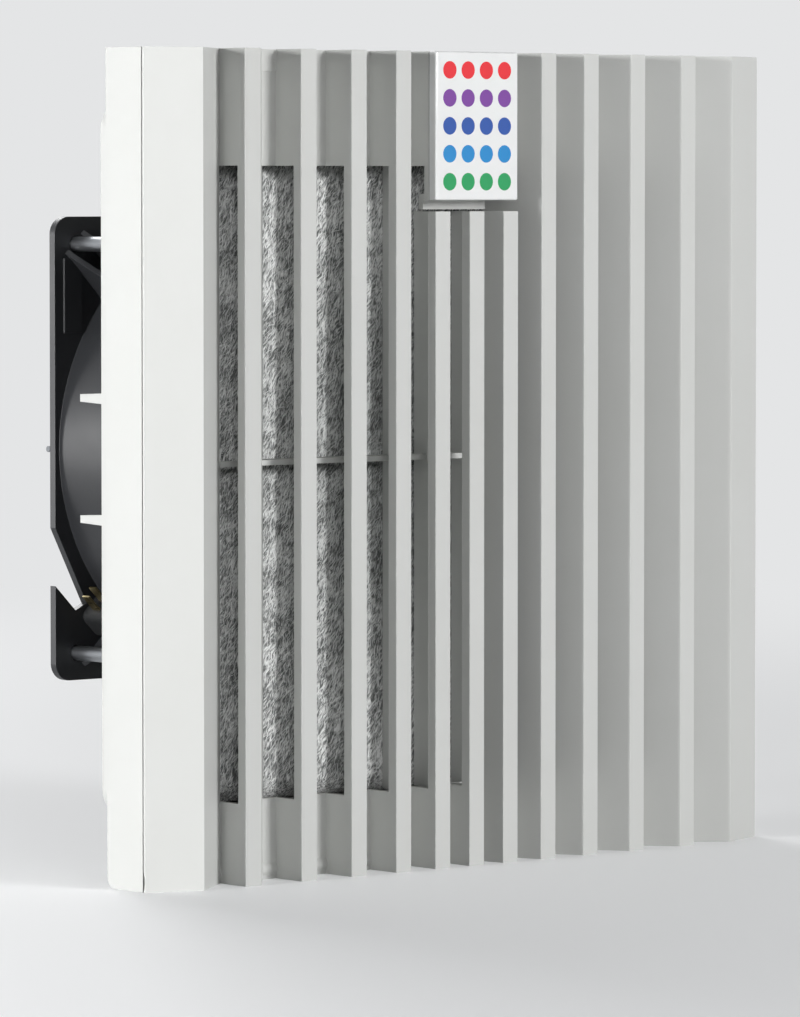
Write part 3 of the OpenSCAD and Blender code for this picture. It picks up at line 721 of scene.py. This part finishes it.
@dataclass
class FrameAndFilter:
    """Frame, mat, grid, seal and the carrier behind them."""

    edge_mm: float = 0.5
    thin_edge_mm: float = 0.3
    mat_cells: int = 120
    mat_round_mm: float = 5.0
    mat_drop_mm: float = 3.2
    mat_lump_mm: float = 0.4
    lump_pitch_mm: float = 11.0
    mat_face_m2: float = 0.0282
    strand_count: int = 8600
    strand_mm: float = 2.8
    strand_r_mm: float = 0.05
    strand_sag: float = 0.18
    strand_lift: float = 0.15
    strand_lean: tuple[float, float] = (0.3, 1.7)
    strand_scale: tuple[float, float] = (0.6, 1.5)

    def build(self) -> None:
        """Make every fixed piece of the frame."""
        body = Body.HOUSING
        rounded("frame_moulding", "base_frame", self.edge_mm, LIGHT_ABS, body, Slot.GREY_ABS)
        rounded("carrier_moulding", "fan_carrier", self.edge_mm, INNER_ABS, body, Slot.GREY_ABS)
        rounded("mat_grid", "support_grid", self.thin_edge_mm, INNER_ABS, body, Slot.GREY_ABS)
        rounded("foam_strip", "panel_gasket", self.thin_edge_mm, FOAM, body, Slot.FOAM)
        mat = new_piece("felt_mat", self.mat_mesh(), FELT, body, Slot.FIBRE, "filter_mat")
        self.strands(mat)

    def mat_mesh(self) -> Mesh:
        """Return the mat: a closed pad with a lumpy, crowned front and rounded sides."""
        middle, size = centre_and_size("filter_mat")
        shape = bmesh.new()
        cells = self.mat_cells
        front = [[None] * (cells + 1) for _ in range(cells + 1)]
        back = [[None] * (cells + 1) for _ in range(cells + 1)]
        for i in range(cells + 1):
            for j in range(cells + 1):
                u, v = 2 * i / cells - 1, 2 * j / cells - 1
                x, z = middle.x + u * size.x / 2, middle.z + v * size.z / 2
                edge = min(1 - abs(u), 1 - abs(v)) * size.x / 2
                fall = max(0.0, 1 - edge / self.mat_round_mm)
                place = Vector((x / self.lump_pitch_mm, LUMP_LAYER, z / self.lump_pitch_mm))
                lump = noise.fractal(place, 0.8, 2.1, 4) * 0.5 + 0.5
                sunk = self.mat_drop_mm * fall * fall + self.mat_lump_mm * min(1.0, max(0.0, lump))
                y = middle.y - size.y / 2 + sunk
                front[i][j] = shape.verts.new((x * MM, y * MM, z * MM))
                back[i][j] = shape.verts.new((x * MM, (middle.y + size.y / 2) * MM, z * MM))
        for i in range(cells):
            for j in range(cells):
                shape.faces.new((front[i][j], front[i + 1][j], front[i + 1][j + 1], front[i][j + 1]))
        rim = [(i, 0) for i in range(cells)] + [(cells, j) for j in range(cells)]
        rim += [(cells - i, cells) for i in range(cells)] + [(0, cells - j) for j in range(cells)]
        for (a, b), (c, d) in zip(rim, rim[1:] + rim[:1]):
            shape.faces.new((front[c][d], front[a][b], back[a][b], back[c][d]))
        shape.faces.new([back[a][b] for a, b in rim])
        loose = [v for v in shape.verts if not v.link_faces]
        bmesh.ops.delete(shape, geom=loose, context="VERTS")
        bmesh.ops.recalc_face_normals(shape, faces=shape.faces)
        mesh = bpy.data.meshes.new("mat")
        shape.to_mesh(mesh)
        shape.free()
        mesh.shade_smooth()
        mesh.set_sharp_from_angle(angle=math.radians(60))
        return mesh

    def strands(self, mat: Object) -> None:
        """Scatter loose fibres over the front of the mat.

        Args:
            mat: The mat, whose front face carries them.
        """
        sizes = {
            "Strands per area": self.strand_count / self.mat_face_m2,
            "Length": self.strand_mm * MM,
            "Radius": self.strand_r_mm * MM,
        }
        tree, given = geometry_tree("strands", sizes)
        source = add(tree, "GeometryNodeObjectInfo", {"Object": mat})
        normal = add(tree, "GeometryNodeInputNormal")
        faces_front = add(tree, "FunctionNodeCompare", {
            "A": normal.outputs[0], "B": (0.0, -1.0, 0.0), "Angle": 0.6},
            data_type="VECTOR", mode="DIRECTION", operation="LESS_EQUAL")
        points = add(tree, "GeometryNodeDistributePointsOnFaces", {
            "Mesh": source.outputs["Geometry"], "Density": given["Strands per area"], "Seed": SEED,
            "Selection": faces_front.outputs[0]})
        length = given["Length"]
        curve = add(tree, "GeometryNodeCurveQuadraticBezier", {
            "Resolution": 4,
            "Start": point(tree, X=calc(tree, "MULTIPLY", length, -0.5)),
            "Middle": point(tree, Y=calc(tree, "MULTIPLY", length, self.strand_sag)),
            "End": point(tree, X=calc(tree, "MULTIPLY", length, 0.5)),
        })
        section = add(tree, "GeometryNodeCurvePrimitiveCircle", {"Resolution": 3, "Radius": given["Radius"]})
        strand = add(tree, "GeometryNodeCurveToMesh", {
            "Curve": curve.outputs[0], "Profile Curve": section.outputs[0], "Fill Caps": True})
        flat, lift = math.pi / 2, self.strand_lift
        least, most = self.strand_lean
        turn = add(tree, "FunctionNodeRandomValue", {
            "Min": (flat - lift, -most, -lift), "Max": (flat + lift, -least, lift), "Seed": SEED + 1},
            data_type="FLOAT_VECTOR")
        lay = add(tree, "FunctionNodeEulerToRotation", {"Euler": turn.outputs[0]})
        small, large = self.strand_scale
        size = add(tree, "FunctionNodeRandomValue", {
            "Min": small, "Max": large, "Seed": SEED + 2}, data_type="FLOAT")
        placed = add(tree, "GeometryNodeInstanceOnPoints", {
            "Points": points.outputs[0], "Instance": strand.outputs[0], "Rotation": lay.outputs[0],
            "Scale": size.outputs[1]})
        mesh = grown(tree, placed.outputs[0], STRAND, sizes)
        new_piece("felt_strands", mesh, None, Body.HOUSING, Slot.FIBRE)


def cut(mesh: Mesh, tool: Mesh) -> Mesh:
    """Cut one mesh out of another.

    Args:
        mesh: Mesh that loses material.
        tool: Closed mesh to take away.

    Returns:
        The cut mesh.
    """
    knife = host_object(tool)
    host = host_object(mesh)
    boolean = host.modifiers.new("cut", "BOOLEAN")
    boolean.object = knife
    boolean.operation = "DIFFERENCE"
    boolean.solver = "EXACT"
    result = evaluated_mesh(host)
    bpy.data.objects.remove(knife)
    return result


@dataclass
class CrossScrews:
    """Four pan-head screws with cross recesses, on a square pattern."""

    node: str
    head_r_mm: float
    head_h_mm: float
    shank_r_mm: float
    tip_mm: float = 0.6
    edge_mm: float = 0.1
    crown_steps: int = 6
    # Share of the head's radius and height that its crown takes, and of the recess's length and width
    crown: tuple[float, float] = (0.45, 0.55)
    recess: tuple[float, float] = (0.62, 0.13)

    def build(self) -> None:
        """Make one screw and repeat it at the four corners."""
        middle, size = centre_and_size(self.node)
        pitch = size.x - 2 * self.head_r_mm
        sizes = {"Pitch": pitch * MM, "Centre X": middle.x * MM, "Centre Z": middle.z * MM}
        screw = host_object(self.screw_mesh(middle.y - size.y / 2, middle.y + size.y / 2))
        tree, given = geometry_tree("screws", sizes)
        grid = add(tree, "GeometryNodeMeshGrid", {
            "Size X": given["Pitch"], "Size Y": given["Pitch"], "Vertices X": 2, "Vertices Y": 2})
        upright = add(tree, "GeometryNodeTransform", {
            "Geometry": grid.outputs[0],
            "Translation": point(tree, X=given["Centre X"], Z=given["Centre Z"]),
            "Rotation": UPRIGHT,
        })
        shape = add(tree, "GeometryNodeObjectInfo", {"Object": screw})
        turn = add(tree, "FunctionNodeRandomValue", {
            "Max": (0.0, MOST_TURN, 0.0), "Seed": SEED}, data_type="FLOAT_VECTOR")
        placed = add(tree, "GeometryNodeInstanceOnPoints", {
            "Points": upright.outputs[0], "Instance": shape.outputs["Geometry"], "Rotation": turn.outputs[0]})
        mesh = grown(tree, placed.outputs[0], ZINC_STEEL, sizes)
        bpy.data.objects.remove(screw)
        new_piece(f"{self.node}_cross", mesh, None, Body.HOUSING, Slot.ZINC, self.node)

    def screw_mesh(self, tip: float, top: float) -> Mesh:
        """Return one screw on the Y axis.

        Args:
            tip: Y of the shank's end in millimetres.
            top: Y of the head's top in millimetres.

        Returns:
            The screw, its recess cut.
        """
        r, h, s = self.head_r_mm, self.head_h_mm, self.shank_r_mm
        under = top - h
        profile = [(0.0, tip), (s - self.tip_mm, tip), (s, tip + self.tip_mm), (s, under)]
        profile += [(r - self.edge_mm, under), (r, under + self.edge_mm)]
        for step in range(self.crown_steps + 1):
            a = math.radians(90 * step / self.crown_steps)
            profile.append((
                r - self.crown[0] * r * (1 - math.cos(a)),
                top - h * self.crown[1] * (1 - math.sin(a)),
            ))
        profile.append((0.0, top))
        body = lathe(profile, 40)
        tool = bmesh.new()
        for wide, high in (self.recess, self.recess[::-1]):
            place = Matrix.Translation((0, top * MM, 0))
            place @= Matrix.Diagonal((2 * r * wide * MM, 1.1 * h * MM, 2 * r * high * MM, 1))
            bmesh.ops.create_cube(tool, size=1.0, matrix=place)
        cross = bpy.data.meshes.new("cross")
        tool.to_mesh(cross)
        tool.free()
        return cut(body, cross)


@dataclass
class WireGuard:
    """Welded wire finger guard on the back of the fan."""

    wire_d_mm: float = 1.6
    rings: int = 5
    eye_r_mm: float = 3.2
    rim_mm: float = 6.0
    outer_step: float = 0.3
    weld_share: float = 0.9

    def build(self) -> None:
        """Sweep a round wire along rings, spokes and corner eyes."""
        middle, size = centre_and_size("wire_guard")
        screws = centre_and_size("fan_screws")[1]
        corner = screws.x / 2 - FAN_SCREW_MM[0]
        reach = size.x / 2
        step = (reach - self.rim_mm) / (self.rings + self.outer_step)
        spoke_y = middle.y - size.y / 2 + self.wire_d_mm / 2
        sizes = {
            "Rings": self.rings,
            "Ring step": step * MM,
            "Wire radius": self.wire_d_mm / 2 * MM,
            "Spoke place": spoke_y * MM,
            "Ring place": (spoke_y + self.weld_share * self.wire_d_mm) * MM,
            "Corner pitch": 2 * corner * MM,
            "Eye radius": self.eye_r_mm * MM,
            "Diagonal reach": (corner * math.sqrt(2) - self.eye_r_mm) * MM,
            "Level reach": reach * MM,
            "Lift": middle.z * MM,
        }
        tree, given = geometry_tree("wire_guard", sizes)
        rank = add(tree, "GeometryNodeInputIndex").outputs[0]
        ring_place = point(tree, Y=given["Ring place"], Z=given["Lift"])
        spoke_place = point(tree, Y=given["Spoke place"], Z=given["Lift"])
        ring_r = calc(tree, "MULTIPLY", calc(tree, "ADD", rank, 1.0), given["Ring step"])
        circle = add(tree, "GeometryNodeCurvePrimitiveCircle", {"Resolution": 96, "Radius": 1.0})
        hubs = add(tree, "GeometryNodeMeshLine", {"Count": given["Rings"], "Offset": (0.0, 0.0, 0.0)})
        rings = add(tree, "GeometryNodeInstanceOnPoints", {
            "Points": hubs.outputs[0], "Instance": circle.outputs[0], "Scale": ring_r})
        parts = [add(tree, "GeometryNodeTransform", {
            "Geometry": rings.outputs[0], "Translation": ring_place, "Rotation": UPRIGHT})]
        pitch = given["Corner pitch"]
        grid = add(tree, "GeometryNodeMeshGrid", {
            "Size X": pitch, "Size Y": pitch, "Vertices X": 2, "Vertices Y": 2})
        loop = add(tree, "GeometryNodeCurvePrimitiveCircle", {
            "Resolution": 28, "Radius": given["Eye radius"]})
        eyes = add(tree, "GeometryNodeInstanceOnPoints", {
            "Points": grid.outputs[0], "Instance": loop.outputs[0]})
        parts.append(add(tree, "GeometryNodeTransform", {
            "Geometry": eyes.outputs[0], "Translation": spoke_place, "Rotation": UPRIGHT}))
        for count, first, reach_key in ((4, math.pi / 4, "Diagonal reach"), (2, 0.0, "Level reach")):
            angle = calc(tree, "MULTIPLY_ADD", rank, 2 * math.pi / count, first)
            line = add(tree, "GeometryNodeCurvePrimitiveLine", {
                "Start": point(tree, X=given["Ring step"]), "End": point(tree, X=given[reach_key])})
            centres = add(tree, "GeometryNodeMeshLine", {"Count": count, "Offset": (0.0, 0.0, 0.0)})
            spokes = add(tree, "GeometryNodeInstanceOnPoints", {
                "Points": centres.outputs[0], "Instance": line.outputs[0], "Rotation": point(tree, Y=angle)})
            parts.append(add(tree, "GeometryNodeTransform", {
                "Geometry": spokes.outputs[0], "Translation": spoke_place}))
        joined = add(tree, "GeometryNodeJoinGeometry")
        for part in parts:
            tree.links.new(part.outputs[0], joined.inputs[0])
        loose = add(tree, "GeometryNodeRealizeInstances", {"Geometry": joined.outputs[0]})
        section = add(tree, "GeometryNodeCurvePrimitiveCircle", {
            "Resolution": 12, "Radius": given["Wire radius"]})
        wire = add(tree, "GeometryNodeCurveToMesh", {
            "Curve": loose.outputs[0], "Profile Curve": section.outputs[0], "Fill Caps": True})
        mesh = grown(tree, wire.outputs[0], ZINC_STEEL, sizes)
        new_piece("guard_wires", mesh, None, Body.HOUSING, Slot.ZINC, "wire_guard")


@dataclass
class Impeller:
    """Moulded fan wheel: a hub ring on the rotor cup with swept, twisted blades."""

    blades: int = 7
    twist_deg: float = 34.0
    sweep_deg: float = 30.0
    blade_t_mm: float = 1.8
    blade_sink_mm: float = 0.1
    blade_inset_mm: float = 1.0
    tip_thinning: float = 0.4
    edge_share: float = 0.03
    hub_in_mm: float = 30.15
    hub_t_mm: float = 1.6
    hub_edge_mm: tuple[float, float] = (0.4, 0.3)
    across: int = 14
    along: int = 18

    def build(self) -> None:
        """Make one blade and the hub ring, and repeat the blade about the axis."""
        middle, size = centre_and_size("impeller")
        low, high = middle.y - size.y / 2, middle.y + size.y / 2
        hub_out = self.hub_in_mm + self.hub_t_mm
        root = hub_out - self.blade_sink_mm
        inset = self.blade_inset_mm
        blade = host_object(self.blade_mesh(root, size.x / 2, low + inset, high - inset))
        front, rear = self.hub_edge_mm
        ring = [(self.hub_in_mm, low), (hub_out - front, low), (hub_out, low + front), (hub_out, high - rear)]
        ring += [(hub_out - rear, high), (self.hub_in_mm, high), (self.hub_in_mm, low)]
        hub = host_object(lathe(ring, 128))
        sizes = {"Blades": self.blades, "Lift": middle.z * MM}
        tree, given = geometry_tree("impeller", sizes)
        rank = add(tree, "GeometryNodeInputIndex")
        share = calc(tree, "DIVIDE", rank.outputs[0], given["Blades"])
        turn = point(tree, Y=calc(tree, "MULTIPLY", share, 2 * math.pi))
        centres = add(tree, "GeometryNodeMeshLine", {"Count": given["Blades"], "Offset": (0.0, 0.0, 0.0)})
        one = add(tree, "GeometryNodeObjectInfo", {"Object": blade})
        wheel = add(tree, "GeometryNodeInstanceOnPoints", {
            "Points": centres.outputs[0], "Instance": one.outputs["Geometry"], "Rotation": turn})
        core = add(tree, "GeometryNodeObjectInfo", {"Object": hub})
        joined = add(tree, "GeometryNodeJoinGeometry")
        tree.links.new(wheel.outputs[0], joined.inputs[0])
        tree.links.new(core.outputs["Geometry"], joined.inputs[0])
        placed = add(tree, "GeometryNodeTransform", {
            "Geometry": joined.outputs[0], "Translation": point(tree, Z=given["Lift"])})
        mesh = grown(tree, placed.outputs[0], BLACK_NYLON, sizes)
        bpy.data.objects.remove(blade)
        bpy.data.objects.remove(hub)
        new_piece("fan_wheel", mesh, None, Body.ROTOR, Slot.BLACK_PLASTIC, "impeller")

    def blade_mesh(self, r0: float, r1: float, y0: float, y1: float) -> Mesh:
        """Return one blade, thin at its tip and rounded at both edges.

        Args:
            r0: Root radius in millimetres.
            r1: Tip radius in millimetres.
            y0: Y of the front edge in millimetres.
            y1: Y of the rear edge in millimetres.

        Returns:
            The blade as a closed mesh.
        """
        shape = bmesh.new()
        sides = []
        for side in (-1, 1):
            rows = []
            for k in range(self.along + 1):
                t = k / self.along
                row = []
                for s in range(self.across + 1):
                    share = s / self.across
                    r = r0 + share * (r1 - r0)
                    full = self.blade_t_mm / 2 * (1 - self.tip_thinning * share)
                    thick = full * math.sqrt(max(self.edge_share, 1 - (2 * t - 1) ** 4))
                    sweep = math.radians(self.sweep_deg * share * share - self.twist_deg * t)
                    sweep += side * thick / r
                    row.append(shape.verts.new((
                        r * math.cos(sweep) * MM, (y0 + t * (y1 - y0)) * MM, -r * math.sin(sweep) * MM)))
                rows.append(row)
            sides.append(rows)
        near, far = sides
        for k in range(self.along):
            for s in range(self.across):
                for rows in sides:
                    shape.faces.new((rows[k][s], rows[k][s + 1], rows[k + 1][s + 1], rows[k + 1][s]))
            for s in (0, self.across):
                shape.faces.new((near[k][s], near[k + 1][s], far[k + 1][s], far[k][s]))
        for s in range(self.across):
            for k in (0, self.along):
                shape.faces.new((near[k][s], near[k][s + 1], far[k][s + 1], far[k][s]))
        bmesh.ops.recalc_face_normals(shape, faces=shape.faces)
        mesh = bpy.data.meshes.new("blade")
        shape.to_mesh(mesh)
        shape.free()
        mesh.shade_smooth()
        return mesh


@dataclass
class FanUnit:
    """Axial fan: cast body, terminals, guard, screws, wheel and motor."""

    edge_mm: float = 0.45
    thin_edge_mm: float = 0.3
    cup_edge_mm: float = 0.5
    inner: dict[str, Finish] = field(default_factory=lambda: {
        "bearing_tube": TURNED_ALLOY,
        "bearing_outer_rings": BRIGHT_STEEL,
        "bearing_inner_rings": BRIGHT_STEEL,
        "bearing_balls": BRIGHT_STEEL,
        "shaft": BRIGHT_STEEL,
        "retaining_ring": BRIGHT_STEEL,
        "stator_core": SHEETS,
        "rotor_cage": SHEETS,
        "stator_windings": COPPER,
        "terminal_blades": TINNED_BRASS,
    })

    def build(self) -> None:
        """Make the fan; the motor's hidden solids only get their finish."""
        body = Body.HOUSING
        rounded("fan_casting", "fan_housing", self.edge_mm, BLACK_COAT, body, Slot.CAST)
        thin = self.thin_edge_mm
        rounded("terminal_moulding", "terminal_block", thin, BLACK_NYLON, body, Slot.BLACK_PLASTIC)
        rounded("rotor_can", "rotor_cup", self.cup_edge_mm, ROTOR_COAT, Body.ROTOR, Slot.ROTOR_STEEL, 3)
        for node, finish in self.inner.items():
            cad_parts[node].material_slots[0].material = finish.material()
        WireGuard().build()
        CrossScrews("fan_screws", *FAN_SCREW_MM).build()
        Impeller().build()


@dataclass
class Studio:
    """Pale floor, soft lights and the camera of the reference view."""

    floor_z_mm: float = -102.0
    floor_r_mm: float = 30000.0
    floor_colour: str = "#dfe0e1"
    backdrop: str = "#e4e5e6"
    fade_mm: tuple[float, float] = (350.0, 1100.0)
    floor_lift: float = 0.25
    surround: str = "#dfe2e6"
    surround_level: float = 0.03
    camera_mm: tuple[float, float, float] = (-1048.68, -1209.21, 69.19)
    yaw_deg: float = -40.714
    tilt_deg: float = 2.939
    lens_mm: float = 224.18

    def build(self) -> None:
        """Set up everything round the part."""
        self.floor()
        self.world()
        mat = ("felt_mat", "felt_strands")
        fan = ("fan_casting", "terminal_moulding")
        self.light("left_edge", (-1500, 0, 100), (-100, 0, 0), (170, 420), 23.5)
        self.light("front_soft", (440, -1850, 420), (0, 0, 0), (480, 480), 24.0, mat, spared=True)
        self.light("left_fill", (-800, -1720, 420), (0, 0, 0), (420, 420), 4.0)
        self.light("back_soft", (500, 1700, 800), (0, 60, 0), (900, 900), 17.0)
        self.light("fan_rim", (-1150, 1330, 60), (-60, 60, 0), (300, 300), 4.6, fan)
        self.light("mat_key", (-818, -1715, 420), (0, 0, 0), (110, 300), 28.0, mat)
        self.light("mat_fill", (-1220, -1455, 420), (-50, 0, 0), (300, 300), 12.0, mat)
        self.camera()
        view = bpy.context.scene.view_settings
        view.view_transform = "Standard"

    @staticmethod
    def seen(tree: Tree) -> Socket:
        """Return the socket that is one where the camera, a gloss or a clear piece looks at the surround."""
        path = add(tree, "ShaderNodeLightPath").outputs
        either = calc(tree, "MAXIMUM", path["Is Camera Ray"], path["Is Glossy Ray"])
        return calc(tree, "MAXIMUM", either, path["Is Transmission Ray"])

    def floor(self) -> None:
        """Lay a pale floor, a little lifted where it is looked at, that fades into the backdrop's colour."""
        shape = bmesh.new()
        level = Matrix.Translation((0, 0, self.floor_z_mm * MM))
        bmesh.ops.create_circle(shape, cap_ends=True, segments=96, radius=self.floor_r_mm * MM, matrix=level)
        mesh = bpy.data.meshes.new("floor")
        shape.to_mesh(mesh)
        shape.free()
        material = bpy.data.materials.new("pale_studio_floor")
        material.use_nodes = True
        tree = material.node_tree
        paper = tree.nodes["Principled BSDF"]
        paper.inputs["Base Color"].default_value = linear(self.floor_colour)
        paper.inputs["Roughness"].default_value = 0.6
        glow = add(tree, "ShaderNodeEmission", {"Color": linear(self.backdrop), "Strength": 1.0})
        place = add(tree, "ShaderNodeTexCoord").outputs["Object"]
        distance = add(tree, "ShaderNodeVectorMath", {0: place}, operation="LENGTH")
        near, far = self.fade_mm
        fade = add(tree, "ShaderNodeMapRange", {
            "Value": distance.outputs["Value"], "From Min": near * MM, "From Max": far * MM},
            interpolation_type="SMOOTHSTEP")
        seen = self.seen(tree)
        share = calc(tree, "MULTIPLY", fade.outputs[0], seen)
        lift = calc(tree, "MULTIPLY", seen, self.floor_lift)
        pale = add(tree, "ShaderNodeEmission", {"Color": linear(self.backdrop), "Strength": lift})
        lifted = add(tree, "ShaderNodeAddShader", {0: paper.outputs[0], 1: pale.outputs[0]})
        blend = add(tree, "ShaderNodeMixShader", {
            0: share, 1: lifted.outputs[0], 2: glow.outputs[0]})
        tree.links.new(blend.outputs[0], tree.nodes["Material Output"].inputs["Surface"])
        mesh.materials.append(material)
        floor = bpy.data.objects.new("floor", mesh)
        bpy.context.scene.collection.objects.link(floor)

    def world(self) -> None:
        """Give a plain pale surround: its colour to the camera, a weak grey light to the part."""
        world = bpy.data.worlds.new("studio")
        bpy.context.scene.world = world
        world.use_nodes = True
        tree = world.node_tree
        tree.nodes.clear()
        seen = self.seen(tree)
        plain = add(tree, "ShaderNodeBackground", {"Color": linear(self.backdrop), "Strength": 1.0})
        soft = add(tree, "ShaderNodeBackground", {
            "Color": linear(self.surround), "Strength": self.surround_level})
        pick = add(tree, "ShaderNodeMixShader", {0: seen, 1: soft.outputs[0], 2: plain.outputs[0]})
        add(tree, "ShaderNodeOutputWorld", {"Surface": pick.outputs[0]})

    def light(self, name: str, place: tuple[float, float, float], aim: tuple[float, float, float],
              size: tuple[float, float], power: float,
              pieces: tuple[str, ...] = (), spared: bool = False) -> None:
        """Add one soft area light.

        Args:
            name: Name of the light.
            place: Its place in millimetres.
            aim: Point that it faces, in millimetres.
            size: Its width and height in millimetres.
            power: Its power in watts.
            pieces: Pieces that it reaches alone, or none for all.
            spared: Whether it reaches all but those pieces instead.
        """
        data = bpy.data.lights.new(name, "AREA")
        data.energy = power
        data.shape = "RECTANGLE"
        data.size, data.size_y = size[0] * MM, size[1] * MM
        lamp = bpy.data.objects.new(name, data)
        lamp.visible_camera = False
        lamp.location = Vector(place) * MM
        lamp.rotation_euler = (Vector(aim) - Vector(place)).to_track_quat("-Z", "Y").to_euler()
        bpy.context.scene.collection.objects.link(lamp)
        if pieces:
            reached = bpy.data.collections.new(f"{name}_reach")
            for piece in pieces:
                reached.objects.link(bpy.data.objects[piece])
            for entry in reached.collection_objects:
                entry.light_linking.link_state = "EXCLUDE" if spared else "INCLUDE"
            lamp.light_linking.receiver_collection = reached

    def camera(self) -> None:
        """Place the camera where the reference view was taken from."""
        data = bpy.data.cameras.new("view")
        data.sensor_fit = "VERTICAL"
        data.sensor_height = 36.0
        data.lens = self.lens_mm
        data.clip_end = 100.0
        eye = bpy.data.objects.new("view", data)
        eye.location = Vector(self.camera_mm) * MM
        eye.rotation_euler = (math.radians(90 - self.tilt_deg), 0.0, math.radians(self.yaw_deg))
        bpy.context.scene.collection.objects.link(eye)
        bpy.context.scene.camera = eye


def main() -> None:
    """Build the part's looks and its studio."""
    logging.basicConfig(level=logging.INFO, format="%(message)s")
    GrilleFront().build()
    FrameAndFilter().build()
    FanUnit().build()
    CrossScrews("carrier_screws", *CARRIER_SCREW_MM).build()
    Studio().build()


if __name__ == "__main__":
    main()
